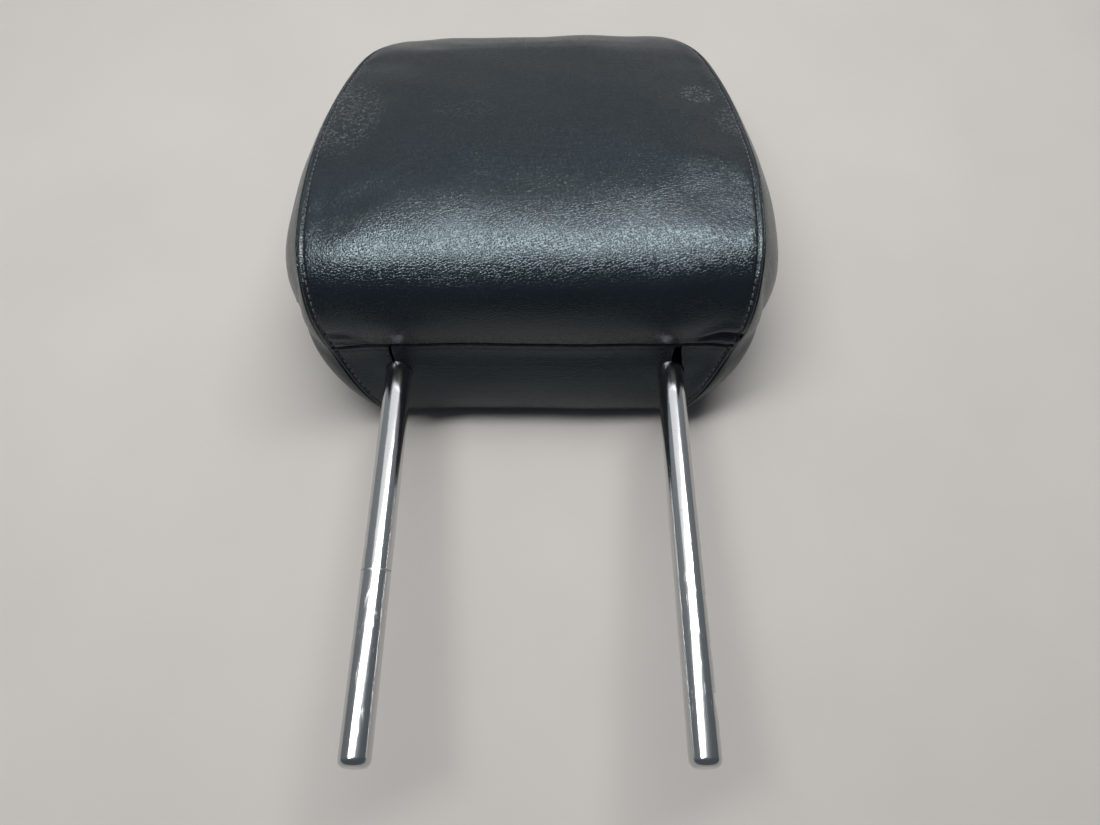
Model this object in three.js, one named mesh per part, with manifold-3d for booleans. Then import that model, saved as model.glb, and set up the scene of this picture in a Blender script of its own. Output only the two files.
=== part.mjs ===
// A car headrest lying on its back: a leather cushion with two chrome posts.
// Millimetres. +X runs across the cushion, +Y from the posts to the cushion's top,
// +Z from the back of the cushion, which lies down, to its front face.

import * as THREE from 'three';
import { mergeVertices } from 'three/addons/utils/BufferGeometryUtils.js';
import Module from 'manifold-3d';

const wasm = await Module();
wasm.setup();

// Cushion seen from the front: places up the cushion count from where the posts leave it
const HEAD_WIDTH = 264;
const WIDEST_AT = 70;
const HEAD_TOP = 235;
const UNDERSIDE_OUT = 11;

// Cushion seen from the side: heights count from the flat back
const CLOSING_IN = 4;
const CLOSING_HEIGHT = 60;
const BULGE_HEIGHT = 106;
const BULGE_AT = 46;
const BROW_HEIGHT = 74;
const BROW_AT = 198;
const TOP_END_HEIGHT = 38;
const TOP_BACK_AT = 200;
const BACK_EDGE_ROUND = 14;
const UNDERSIDE_HEIGHT = 16;

// Lengths of the curve handles, as shares of the spans that they round
const BULGE_RISE_HANDLE = 0.55;
const BULGE_RUN_HANDLE = 0.65;
const SLOPE_HANDLE = 0.28;
const BROW_HANDLE = 0.3;
const BROW_TILT = 0.4;
const TOP_HANDLE = 0.5;
const ROUND_HANDLE = 0.6;

// Distance from one side seam to the other, in the order of the side view
const SEAMS_AT_CLOSING = 213;
const SEAMS_AT_BULGE = 231;
const SEAMS_ON_SLOPE = 229;
const SEAMS_AT_BROW = 203;
const SEAMS_AT_TOP = 152;
const SEAMS_AT_TOP_BACK = 160;
const SEAMS_ON_BACK = 189;
const SEAMS_AT_HEEL = 154;
const SEAMS_AT_TOE = 172;
const SEAMS_ON_FLAP = 197;

// How far the main panel falls in front and draws in at the top, from its middle to a seam
const FRONT_FALL = 6;
const FRONT_FALL_POWER = 5;
const TOP_DRAW = 8;
const TOP_DRAW_POWER = 4;

// The side panels' spine, the widest line of the cushion
const SPINE_LOW_AT = 34;
const SPINE_LOW_HEIGHT = 56;
const SPINE_LOW_WIDTH = 247;
const SPINE_HIGH_AT = 196;
const SPINE_HIGH_HEIGHT = 42;
const SPINE_HIGH_WIDTH = 228;
const TOP_CURVE_START = 185;
const BULGE_START = 15;
const FRONT_FULLNESS = 1;
const BACK_FULLNESS = 0.8;

// Cover
const LEATHER = 2;
const CLOSING_GAP = 1.2;
const SLIT_OUTWARD = 2;
const LEFT_SLIT = 1.4;
const RIGHT_SLIT = 3.2;

// Posts: the two legs of one steel tube, bent to a U inside the cushion
const POST_DIAMETER = 14;
const POST_SPACING = 145;
const POST_OUT = 198;
const POST_IN = 95;
const POST_BEND = 38;
const POST_HEIGHT = 42;
const POST_RISE = THREE.MathUtils.degToRad(7.2);
const TIP_ROUND = 3.5;

// Height stops on the outer side of the right post, the first one nearest the tip
const STOP_FROM_TIP = 30;
const STOP_PITCH = 21.5;
const STOP_COUNT = 4;
const STOP_DEPTH = 1.2;
const STOP_LENGTH = 9;
const FIRST_STOP_DEPTH = 1.9;
const FIRST_STOP_LENGTH = 14.5;

// Carrier: two moulded halves clamped round the tube
const CARRIER_WIDTH = 176;
const CARRIER_START = 10;
const CARRIER_BEYOND_TUBE = 9;
const CARRIER_HALF_THICK = 13;
const CARRIER_TOP_CORNER = 30;
const CARRIER_FOOT_CORNER = 6;
const CARRIER_WALL = 3;
const POCKET_COLUMNS = 4;
const POCKET_ROWS = 2;
const POCKET_RIB = 3;
const POCKET_FOOT_BAND = 19;

// Screws through the carrier
const SCREW_SHANK = 3.6;
const SCREW_HEAD = 8;
const SCREW_HEAD_HIGH = 2.6;
const SCREW_LENGTH = 18;
const SCREW_POINT = 3;
const SCREW_SPACING = 80;
const SCREW_FOOT_IN = 11;
const SCREW_TOP_IN = 13;

// Hooked profiles sewn to the two edges of the cover that meet at the closing line
const PROFILE_LENGTH = 120;
const PROFILE_WALL = 1.2;
const PROFILE_DEPTH = 8;
const FRONT_STEM = 8;
const FLAP_STEM = 3;
const PROFILE_LIP = 2.6;
const PROFILE_BEHIND_COVER = 1.9;

// Clearances
const SEAT = 0.3;
const HOLE_EASE = 0.4;
const FOAM_EASE = 0.5;

// Fineness of the curved surfaces
const PROFILE_STEPS = [9, 12, 6, 6, 8, 4, 5];
const SEAM_DEPTH = 0.7;
const SEAM_REACH = 1.4;
const MAIN_SHARES = [-1, -0.92, -0.78, -0.5, 0, 0.5, 0.78, 0.92, 1];
const SIDE_SHARES = [0.12, 0.3, 0.52, 0.75, 0.93];
const TUBE_SIDES = 18;
const BEND_STEPS = 9;
const ROUND_STEPS = 4;
const SCREW_SIDES = 12;
const CORNER_STEPS = 6;

const HALF_WIDTH = HEAD_WIDTH / 2;
const POST_RADIUS = POST_DIAMETER / 2;
const POST_X = POST_SPACING / 2;
const BRIDGE_AT = POST_IN + POST_BEND;
const QUARTER_TURN = Math.PI / 2;

// Materials
const leather = new THREE.MeshStandardMaterial({ color: 0x1b1d21, roughness: 0.5 });
const chrome = new THREE.MeshStandardMaterial({ color: 0xd8dadc, roughness: 0.08, metalness: 1 });
const foam = new THREE.MeshStandardMaterial({ color: 0x8f8a6d, roughness: 0.95 });
const plastic = new THREE.MeshStandardMaterial({ color: 0x232426, roughness: 0.6 });
const zincSteel = new THREE.MeshStandardMaterial({ color: 0xa9abae, roughness: 0.35, metalness: 1 });

// A closed geometry as a solid for cutting and joining
function solid(geometry) {
  const bare = geometry.clone();
  bare.deleteAttribute('normal');
  bare.deleteAttribute('uv');
  const merged = mergeVertices(bare, 1e-4);
  const vertProperties = new Float32Array(merged.attributes.position.array);
  const triVerts = new Uint32Array(merged.index.array);
  return new wasm.Manifold(new wasm.Mesh({ numProp: 3, vertProperties, triVerts }));
}

// A cut or joined solid as a geometry again
function geometryOf(body) {
  const mesh = body.getMesh();
  const geometry = new THREE.BufferGeometry();
  geometry.setAttribute('position', new THREE.BufferAttribute(mesh.vertProperties, 3));
  geometry.setIndex(new THREE.BufferAttribute(mesh.triVerts, 1));
  geometry.computeVertexNormals();
  return geometry;
}

// Triangles between rings of points that run anticlockwise when looked at from the last
// ring back to the first
function skinIndex(rings) {
  const count = rings[0].length;
  const index = [];
  for (let i = 0; i + 1 < rings.length; i += 1) {
    const here = i * count;
    const there = here + count;
    for (let j = 0; j < count; j += 1) {
      const next = (j + 1) % count;
      index.push(here + j, here + next, there + next);
      index.push(here + j, there + next, there + j);
    }
  }
  return index;
}

function geometryFrom(points, index) {
  const geometry = new THREE.BufferGeometry().setFromPoints(points);
  geometry.setIndex(index);
  geometry.computeVertexNormals();
  return geometry;
}

// A skin over rings of points, closed to one point at each end
function loft(rings, first, last) {
  const count = rings[0].length;
  const points = [...rings.flat(), first, last];
  const start = points.length - 2;
  const end = points.length - 1;
  const lastRing = start - count;
  const index = skinIndex(rings);
  for (let j = 0; j < count; j += 1) {
    const next = (j + 1) % count;
    index.push(start, next, j);
    index.push(lastRing + j, lastRing + next, end);
  }
  return geometryFrom(points, index);
}

// Faces over a ring of points: from its lowest point along both sides at once, so that each
// face joins neighbours on the two sides
function facesOver(ring) {
  const count = ring.length;
  let right = ring.reduce((lowest, point, i) => (point.y < ring[lowest].y ? i : lowest), 0);
  let left = (right + count - 1) % count;
  const faces = [];
  while (faces.length < count - 2) {
    const nextRight = (right + 1) % count;
    const nextLeft = (left + count - 1) % count;
    if (ring[nextRight].y < ring[nextLeft].y) {
      faces.push([right, nextRight, left]);
      right = nextRight;
    } else {
      faces.push([right, nextLeft, left]);
      left = nextLeft;
    }
  }
  return faces;
}

// A skin over rings of points that lie one beside the other across the cushion, each end
// closed by faces over its whole ring
function closedAcross(rings) {
  const points = rings.flat();
  const lastRing = points.length - rings[0].length;
  const index = skinIndex(rings);
  facesOver(rings[0]).forEach(([a, b, c]) => index.push(a, c, b));
  facesOver(rings[rings.length - 1]).forEach(([a, b, c]) => {
    index.push(lastRing + a, lastRing + b, lastRing + c);
  });
  return geometryFrom(points, index);
}

// The same skin moved inwards along its normals
function shrunk(geometry, distance) {
  const moved = geometry.clone();
  const position = moved.attributes.position;
  const normal = geometry.attributes.normal;
  for (let i = 0; i < position.count; i += 1) {
    const x = position.getX(i) - normal.getX(i) * distance;
    const y = position.getY(i) - normal.getY(i) * distance;
    const z = position.getZ(i) - normal.getZ(i) * distance;
    position.setXYZ(i, x, y, z);
  }
  return moved;
}

// An outline drawn in X and Y, raised from one height to another
function raised(shape, low, high) {
  const settings = { depth: high - low, bevelEnabled: false, curveSegments: CORNER_STEPS };
  const geometry = new THREE.ExtrudeGeometry(shape, settings);
  geometry.translate(0, 0, low);
  return geometry;
}

// A section drawn in Y and Z, run across the cushion to equal lengths on both sides
function runAcross(shape, length) {
  const geometry = raised(shape, -length / 2, length / 2);
  const alongY = new THREE.Vector3(0, 1, 0);
  const alongZ = new THREE.Vector3(0, 0, 1);
  const alongX = new THREE.Vector3(1, 0, 0);
  geometry.applyMatrix4(new THREE.Matrix4().makeBasis(alongY, alongZ, alongX));
  return geometry;
}

// A box between two places on each axis
function block([x0, x1], [y0, y1], [z0, z1]) {
  const geometry = new THREE.BoxGeometry(x1 - x0, y1 - y0, z1 - z0);
  geometry.translate((x0 + x1) / 2, (y0 + y1) / 2, (z0 + z1) / 2);
  return geometry;
}

// What is drawn in the posts' own plane is tilted about the line where they leave the cushion
function tilted(geometry) {
  geometry.rotateX(-POST_RISE);
  geometry.translate(0, 0, POST_HEIGHT);
  return geometry;
}

// Side view of the main panel: from the closing line over the bulge, the front slope and
// the top, then along the back and up the flap underneath
function sideView() {
  const foot = -UNDERSIDE_OUT;
  const bulgeRise = BULGE_HEIGHT - CLOSING_HEIGHT;
  const bulgeRun = BULGE_AT - CLOSING_IN;
  const slopeRun = BROW_AT - BULGE_AT;
  const topRun = HEAD_TOP - BROW_AT;
  const topDrop = BROW_HEIGHT - TOP_END_HEIGHT;
  const backRun = HEAD_TOP - TOP_BACK_AT;
  const flapRise = CLOSING_HEIGHT - UNDERSIDE_HEIGHT;
  const path = new THREE.Path();
  path.moveTo(CLOSING_IN, CLOSING_HEIGHT);
  path.bezierCurveTo(
    CLOSING_IN, CLOSING_HEIGHT + bulgeRise * BULGE_RISE_HANDLE,
    BULGE_AT - bulgeRun * BULGE_RUN_HANDLE, BULGE_HEIGHT,
    BULGE_AT, BULGE_HEIGHT,
  );
  path.bezierCurveTo(
    BULGE_AT + slopeRun * SLOPE_HANDLE, BULGE_HEIGHT,
    BROW_AT - slopeRun * BROW_HANDLE, BROW_HEIGHT + topDrop * BROW_TILT,
    BROW_AT, BROW_HEIGHT,
  );
  path.bezierCurveTo(
    BROW_AT + topRun * ROUND_HANDLE, BROW_HEIGHT - topDrop * BROW_TILT * ROUND_HANDLE,
    HEAD_TOP, TOP_END_HEIGHT + topDrop * TOP_HANDLE,
    HEAD_TOP, TOP_END_HEIGHT,
  );
  path.bezierCurveTo(
    HEAD_TOP, TOP_END_HEIGHT * (1 - ROUND_HANDLE),
    TOP_BACK_AT + backRun * ROUND_HANDLE, 0,
    TOP_BACK_AT, 0,
  );
  path.lineTo(foot + BACK_EDGE_ROUND, 0);
  path.bezierCurveTo(
    foot + BACK_EDGE_ROUND * (1 - ROUND_HANDLE), 0,
    foot, UNDERSIDE_HEIGHT * (1 - ROUND_HANDLE),
    foot, UNDERSIDE_HEIGHT,
  );
  path.bezierCurveTo(
    foot, UNDERSIDE_HEIGHT + flapRise * BROW_TILT,
    CLOSING_IN, CLOSING_HEIGHT - flapRise * BROW_HANDLE,
    CLOSING_IN, CLOSING_HEIGHT,
  );
  return path;
}

// Half the distance between the seams at each of the given lengths along the side view
function seamHalves(path, lengths) {
  const ends = [0, ...path.getCurveLengths()];
  const middle = (k) => (ends[k] + ends[k + 1]) / 2;
  const marks = [
    [ends[0], SEAMS_AT_CLOSING],
    [ends[1], SEAMS_AT_BULGE],
    [middle(1), SEAMS_ON_SLOPE],
    [ends[2], SEAMS_AT_BROW],
    [ends[3], SEAMS_AT_TOP],
    [ends[4], SEAMS_AT_TOP_BACK],
    [middle(4), SEAMS_ON_BACK],
    [ends[5], SEAMS_AT_HEEL],
    [ends[6], SEAMS_AT_TOE],
    [middle(6), SEAMS_ON_FLAP],
    [ends[7], SEAMS_AT_CLOSING],
  ];
  const places = marks.map(([place]) => place);
  const widths = marks.map(([, width]) => width / 2);
  const curve = new THREE.CubicInterpolant(places, widths, 1);
  return lengths.map((length) => curve.evaluate(length)[0]);
}

// The cushion's rim: the points of the side view, each with its seam's distance from the
// middle and its place on the spine of the side panel
function cushionRim() {
  const path = sideView();
  const ends = [0, ...path.getCurveLengths()];
  const lengths = PROFILE_STEPS.flatMap((count, k) => Array.from({ length: count }, (_, i) => (
    THREE.MathUtils.lerp(ends[k], ends[k + 1], i / count)
  )));
  const halves = seamHalves(path, lengths);
  const points = path.curves.flatMap((curve, k) => (
    curve.getSpacedPoints(PROFILE_STEPS[k]).slice(0, -1)
  ));
  return points.map((point, k) => {
    const at = THREE.MathUtils.clamp(point.x, SPINE_LOW_AT, SPINE_HIGH_AT);
    const share = (at - SPINE_LOW_AT) / (SPINE_HIGH_AT - SPINE_LOW_AT);
    const height = THREE.MathUtils.lerp(SPINE_LOW_HEIGHT, SPINE_HIGH_HEIGHT, share);
    const below = Math.max(0, (WIDEST_AT - at) / (WIDEST_AT - SPINE_LOW_AT));
    const above = Math.max(0, (at - WIDEST_AT) / (SPINE_HIGH_AT - WIDEST_AT));
    const narrower = (HEAD_WIDTH - SPINE_LOW_WIDTH) * below ** 2
      + (HEAD_WIDTH - SPINE_HIGH_WIDTH) * above ** 2;
    return {
      y: point.x,
      z: point.y,
      half: halves[k],
      spine: new THREE.Vector3((HEAD_WIDTH - narrower) / 2, at, height),
    };
  });
}

// A point of the main panel at a share of the way from its middle to a seam, 1 or -1
function mainPoint(place, share) {
  const nearTop = THREE.MathUtils.smoothstep(place.y, TOP_CURVE_START, HEAD_TOP);
  const inFront = THREE.MathUtils.smoothstep(place.z, POST_HEIGHT, CLOSING_HEIGHT + BULGE_START)
    * THREE.MathUtils.smoothstep(place.y, 0, CLOSING_IN + BULGE_START);
  const draw = TOP_DRAW * Math.abs(share) ** TOP_DRAW_POWER * nearTop;
  const fall = FRONT_FALL * Math.abs(share) ** FRONT_FALL_POWER * inFront;
  return new THREE.Vector3(share * place.half, place.y - draw, place.z - fall);
}

// A point of a side panel at a share of the way from its seam to its spine
function sidePoint(place, side, share) {
  const rim = mainPoint(place, 1);
  const left = 1 - share;
  const fullness = place.z > place.spine.z ? FRONT_FULLNESS : BACK_FULLNESS;
  const point = place.spine.clone().lerp(rim, left);
  point.x = THREE.MathUtils.lerp(rim.x, place.spine.x, (1 - left ** 2) ** fullness);
  return point.multiply(new THREE.Vector3(side, 1, 1));
}

// The whole cushion: the side view run across between the seams, and a side panel that
// bulges out of each end
function cushionForm() {
  const sideRings = (side) => SIDE_SHARES.map((share) => (
    rim.map((place) => sidePoint(place, side, share))
  ));
  const mainRings = MAIN_SHARES.map((share) => rim.map((place) => mainPoint(place, share)));
  return closedAcross([...sideRings(-1).reverse(), ...mainRings, ...sideRings(1)]);
}

// The space between the two side seams, wider than the cushion front to back
function betweenSeams(grow) {
  const ring = (side, reach) => rim.map((place) => {
    const seam = mainPoint(place, 1);
    const point = place.spine.clone().lerp(seam, reach);
    point.x = side * (seam.x + grow);
    return point;
  });
  const rings = [[-1, SEAM_DEPTH], [-1, SEAM_REACH], [1, SEAM_REACH], [1, SEAM_DEPTH]];
  return solid(closedAcross(rings.map(([side, reach]) => ring(side, reach))));
}

// The bent tube as a round section carried from the left tip to the right one
function tube(radius) {
  const rings = [];
  const addRing = (x, y, heading, size) => {
    const along = new THREE.Vector3(Math.sin(heading), Math.cos(heading), 0);
    const up = new THREE.Vector3(0, 0, 1);
    const side = new THREE.Vector3().crossVectors(up, along);
    const ring = [];
    for (let k = 0; k < TUBE_SIDES; k += 1) {
      const turn = 2 * Math.PI * k / TUBE_SIDES;
      const point = new THREE.Vector3(x, y, 0);
      point.addScaledVector(side, size * Math.cos(turn));
      point.addScaledVector(up, size * Math.sin(turn));
      ring.push(point);
    }
    rings.push(ring);
  };
  const addTip = (x, heading, i) => {
    const angle = QUARTER_TURN * i / ROUND_STEPS;
    const y = -POST_OUT + TIP_ROUND * (1 - Math.cos(angle));
    addRing(x, y, heading, radius - TIP_ROUND + TIP_ROUND * Math.sin(angle));
  };
  const addBend = (centreX, start) => {
    for (let i = 0; i <= BEND_STEPS; i += 1) {
      const heading = start + QUARTER_TURN * i / BEND_STEPS;
      const x = centreX - POST_BEND * Math.cos(heading);
      addRing(x, POST_IN + POST_BEND * Math.sin(heading), heading, radius);
    }
  };
  for (let i = 0; i <= ROUND_STEPS; i += 1) {
    addTip(-POST_X, 0, i);
  }
  addBend(-POST_X + POST_BEND, 0);
  addBend(POST_X - POST_BEND, QUARTER_TURN);
  for (let i = ROUND_STEPS; i >= 0; i -= 1) {
    addTip(POST_X, Math.PI, i);
  }
  const first = new THREE.Vector3(-POST_X, -POST_OUT, 0);
  const last = new THREE.Vector3(POST_X, -POST_OUT, 0);
  return loft(rings, first, last);
}

// One height stop: a square shoulder that faces the tip and a ramp back to full diameter
function stopCut(fromTip, depth, length) {
  const outside = POST_X + POST_DIAMETER;
  const floor = POST_X + POST_RADIUS - depth;
  const shoulder = -POST_OUT + fromTip;
  const rampEnd = shoulder - length * (outside - floor) / depth;
  const shape = new THREE.Shape();
  shape.moveTo(floor, shoulder);
  shape.lineTo(outside, rampEnd);
  shape.lineTo(outside, shoulder);
  shape.closePath();
  return solid(raised(shape, -POST_DIAMETER, POST_DIAMETER));
}

function postFrame() {
  let body = solid(tube(POST_RADIUS));
  for (let i = 0; i < STOP_COUNT; i += 1) {
    const fromTip = STOP_FROM_TIP + i * STOP_PITCH;
    const depth = i === 0 ? FIRST_STOP_DEPTH : STOP_DEPTH;
    const length = i === 0 ? FIRST_STOP_LENGTH : STOP_LENGTH;
    body = body.subtract(stopCut(fromTip, depth, length));
  }
  return tilted(geometryOf(body));
}

// Outline of the carrier in the posts' plane
function carrierOutline(grow, start) {
  const half = CARRIER_WIDTH / 2 + grow;
  const end = BRIDGE_AT + POST_RADIUS + CARRIER_BEYOND_TUBE + grow;
  const topRound = CARRIER_TOP_CORNER + grow;
  const footRound = CARRIER_FOOT_CORNER + grow;
  const shape = new THREE.Shape();
  shape.moveTo(-half + footRound, start);
  shape.lineTo(half - footRound, start);
  shape.absarc(half - footRound, start + footRound, footRound, -QUARTER_TURN, 0, false);
  shape.lineTo(half, end - topRound);
  shape.absarc(half - topRound, end - topRound, topRound, 0, QUARTER_TURN, false);
  shape.lineTo(-half + topRound, end);
  shape.absarc(-half + topRound, end - topRound, topRound, QUARTER_TURN, Math.PI, false);
  shape.lineTo(-half, start + footRound);
  shape.absarc(-half + footRound, start + footRound, footRound, Math.PI, 3 * QUARTER_TURN, false);
  return shape;
}

// Weight-saving pockets between the tube's legs, open where the two halves meet
function pockets() {
  const half = POST_X - POST_RADIUS - SEAT - CARRIER_WALL;
  const start = CARRIER_START + POCKET_FOOT_BAND;
  const columnPitch = (2 * half + POCKET_RIB) / POCKET_COLUMNS;
  const rowPitch = (POST_IN - start + POCKET_RIB) / POCKET_ROWS;
  const floor = CARRIER_HALF_THICK - CARRIER_WALL;
  const list = [];
  for (let column = 0; column < POCKET_COLUMNS; column += 1) {
    for (let row = 0; row < POCKET_ROWS; row += 1) {
      const x = -half + column * columnPitch;
      const y = start + row * rowPitch;
      const width = [x, x + columnPitch - POCKET_RIB];
      list.push(solid(block(width, [y, y + rowPitch - POCKET_RIB], [-floor, floor])));
    }
  }
  return wasm.Manifold.union(list);
}

// Places of the screws in the posts' plane
const screwPlaces = [-1, 1].flatMap((side) => [
  [side * SCREW_SPACING / 2, CARRIER_START + SCREW_FOOT_IN],
  [side * SCREW_SPACING / 2, POST_IN + SCREW_TOP_IN],
]);
const SCREW_SEAT = -CARRIER_HALF_THICK + SEAT + SCREW_HEAD_HIGH;

// A round rod along Z
function rod([x, y], radius, [low, high]) {
  const geometry = new THREE.CylinderGeometry(radius, radius, high - low, SCREW_SIDES);
  geometry.rotateX(QUARTER_TURN);
  geometry.translate(x, y, (low + high) / 2);
  return geometry;
}

// A pan-head screw with its point towards the front of the cushion
function screw([x, y]) {
  const shank = SCREW_SHANK / 2;
  const head = SCREW_HEAD / 2;
  const tip = SCREW_SEAT + SCREW_LENGTH;
  const profile = [
    new THREE.Vector2(0, SCREW_SEAT - SCREW_HEAD_HIGH),
    new THREE.Vector2(head * ROUND_HANDLE, SCREW_SEAT - SCREW_HEAD_HIGH),
    new THREE.Vector2(head, SCREW_SEAT - SCREW_HEAD_HIGH / 2),
    new THREE.Vector2(head, SCREW_SEAT),
    new THREE.Vector2(shank, SCREW_SEAT),
    new THREE.Vector2(shank, tip - SCREW_POINT),
    new THREE.Vector2(0, tip),
  ];
  const geometry = new THREE.LatheGeometry(profile, SCREW_SIDES);
  geometry.rotateX(QUARTER_TURN);
  geometry.translate(x, y, 0);
  return tilted(geometry);
}

// What both carrier halves leave free: the tube, the pockets and the screws
function carrierSpace() {
  const sunk = [-CARRIER_HALF_THICK * 2, SCREW_SEAT + SEAT];
  const bore = [-CARRIER_HALF_THICK * 2, SCREW_SEAT + SCREW_LENGTH + SEAT];
  const screwHoles = screwPlaces.flatMap((place) => [
    solid(rod(place, SCREW_HEAD / 2 + FOAM_EASE, sunk)),
    solid(rod(place, SCREW_SHANK / 2 + SEAT, bore)),
  ]);
  return wasm.Manifold.union([solid(tube(POST_RADIUS + SEAT)), pockets(), ...screwHoles]);
}

// Room for the hooked profiles, which a lower closing line brings down to the carrier
function profileRoom() {
  const half = PROFILE_LENGTH / 2 + SEAT;
  const below = tongueHalf + Math.max(FLAP_STEM, HOLE_EASE + PROFILE_WALL) + SEAT;
  const reach = [-HEAD_TOP, profileEnd + SEAT];
  return solid(block([-half, half], reach, [CLOSING_HEIGHT - below, BULGE_HEIGHT]));
}

function carrierHalf(low, high) {
  const plate = solid(raised(carrierOutline(0, CARRIER_START), low, high));
  const half = solid(tilted(geometryOf(plate.subtract(carrierSpace()))));
  return geometryOf(half.subtract(profileRoom()));
}

// The two hooked profiles, drawn in Y and Z about the closing line
const profileStart = CLOSING_IN + LEATHER + PROFILE_BEHIND_COVER;
const profileEnd = profileStart + PROFILE_DEPTH;
const tongueHalf = PROFILE_WALL / 2;

function frontProfile() {
  const inner = profileEnd - PROFILE_WALL;
  const shelf = CLOSING_HEIGHT + tongueHalf + HOLE_EASE;
  const lip = CLOSING_HEIGHT - tongueHalf - HOLE_EASE;
  const stemTop = shelf + PROFILE_WALL + FRONT_STEM;
  const shape = new THREE.Shape();
  shape.moveTo(profileStart, shelf);
  shape.lineTo(inner, shelf);
  shape.lineTo(inner, lip);
  shape.lineTo(inner - PROFILE_LIP, lip);
  shape.lineTo(inner - PROFILE_LIP, lip - PROFILE_WALL);
  shape.lineTo(profileEnd, lip - PROFILE_WALL);
  shape.lineTo(profileEnd, shelf + PROFILE_WALL);
  shape.lineTo(profileStart + PROFILE_WALL, shelf + PROFILE_WALL);
  shape.lineTo(profileStart + PROFILE_WALL, stemTop);
  shape.lineTo(profileStart, stemTop);
  shape.closePath();
  return runAcross(shape, PROFILE_LENGTH);
}

function flapProfile() {
  const tongueEnd = profileEnd - PROFILE_WALL - HOLE_EASE;
  const low = CLOSING_HEIGHT - tongueHalf;
  const shape = new THREE.Shape();
  shape.moveTo(profileStart, low - FLAP_STEM);
  shape.lineTo(profileStart + PROFILE_WALL, low - FLAP_STEM);
  shape.lineTo(profileStart + PROFILE_WALL, low);
  shape.lineTo(tongueEnd, low);
  shape.lineTo(tongueEnd, CLOSING_HEIGHT + tongueHalf);
  shape.lineTo(profileStart, CLOSING_HEIGHT + tongueHalf);
  shape.closePath();
  return runAcross(shape, PROFILE_LENGTH);
}

// The cushion's outer skin, the cover made of it, and the foam inside
const rim = cushionRim().reverse();
const form = cushionForm();
const wholeCushion = solid(form);
const cover = wholeCushion.subtract(solid(shrunk(form, LEATHER)));
const profileBack = profileEnd + FOAM_EASE;

// The main panel runs from the closing line over the front, the top and the back to
// the flap underneath, where slits from the closing line let the posts through
function mainPanel() {
  const ahead = -UNDERSIDE_OUT - LEATHER;
  const halfGap = CLOSING_GAP / 2;
  const closing = [CLOSING_HEIGHT - halfGap, CLOSING_HEIGHT + halfGap];
  const slitReach = [POST_HEIGHT, CLOSING_HEIGHT];
  const slit = (x, width) => {
    const sides = [x - width / 2, x + width / 2];
    return solid(block(sides, [ahead, profileBack], slitReach));
  };
  const cuts = [
    solid(block([-HALF_WIDTH, HALF_WIDTH], [ahead, profileBack], closing)),
    slit(-POST_X - SLIT_OUTWARD, LEFT_SLIT),
    slit(POST_X + SLIT_OUTWARD, RIGHT_SLIT),
    solid(tilted(tube(POST_RADIUS + HOLE_EASE))),
  ];
  const panel = cover.intersect(betweenSeams(0));
  return geometryOf(panel.subtract(wasm.Manifold.union(cuts)));
}

// A side panel closes the cushion between the front and the back seam of one side
function sidePanel(side) {
  const reach = [0, side * HEAD_WIDTH].sort((a, b) => a - b);
  const length = [-HEAD_TOP, HEAD_TOP * 2];
  const half = solid(block(reach, length, [-BULGE_HEIGHT, BULGE_HEIGHT * 2]));
  return geometryOf(cover.subtract(betweenSeams(SEAT)).intersect(half));
}

function foamPad() {
  const thick = CARRIER_HALF_THICK + FOAM_EASE;
  const mouth = -POST_OUT / 2;
  const carrierSlot = tilted(raised(carrierOutline(FOAM_EASE, mouth), -thick, thick));
  const grooveHalf = PROFILE_LENGTH / 2 + FOAM_EASE;
  const grooveLow = CLOSING_HEIGHT - PROFILE_DEPTH;
  const grooveTop = CLOSING_HEIGHT + FRONT_STEM + PROFILE_WALL * 2 + FOAM_EASE;
  const groove = block([-grooveHalf, grooveHalf], [mouth, profileBack], [grooveLow, grooveTop]);
  const pad = solid(shrunk(form, LEATHER + FOAM_EASE));
  return geometryOf(pad.subtract(solid(carrierSlot)).subtract(solid(groove)));
}

const headrest = new THREE.Group();

function add(name, geometry, material) {
  const mesh = new THREE.Mesh(geometry, material);
  mesh.name = name;
  headrest.add(mesh);
}

add('cover_main_panel', mainPanel(), leather);
add('cover_side_panel_left', sidePanel(-1), leather);
add('cover_side_panel_right', sidePanel(1), leather);
add('closing_profile_front', frontProfile(), plastic);
add('closing_profile_flap', flapProfile(), plastic);
add('foam_pad', foamPad(), foam);
add('post_frame', postFrame(), chrome);
add('carrier_rear_half', carrierHalf(-CARRIER_HALF_THICK, -SEAT / 2), plastic);
add('carrier_front_half', carrierHalf(SEAT / 2, CARRIER_HALF_THICK), plastic);
screwPlaces.forEach((place, i) => add(`carrier_screw_${i + 1}`, screw(place), zincSteel));

// The origin is under the middle of the whole headrest, on the surface it lies on
const size = new THREE.Box3().setFromObject(headrest);
const centre = size.getCenter(new THREE.Vector3());
headrest.position.set(-centre.x, -centre.y, -size.min.z);

export default headrest;
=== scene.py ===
# %% [markdown]
# # A leather car headrest on its back
#
# The headrest lies face up on a pale floor: a padded cushion covered in black grained
# leather, closed underneath along one straight line, on two chrome posts. The packed
# model gives every piece its place, and this script gives each of them its finish. The
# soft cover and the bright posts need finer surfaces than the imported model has, so they
# are made here again in the same place. What lies inside keeps its shape and gets a
# material.

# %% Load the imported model
import math

import bpy
import numpy as np
from mathutils import Euler, Matrix, Vector
from mathutils.kdtree import KDTree


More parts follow.
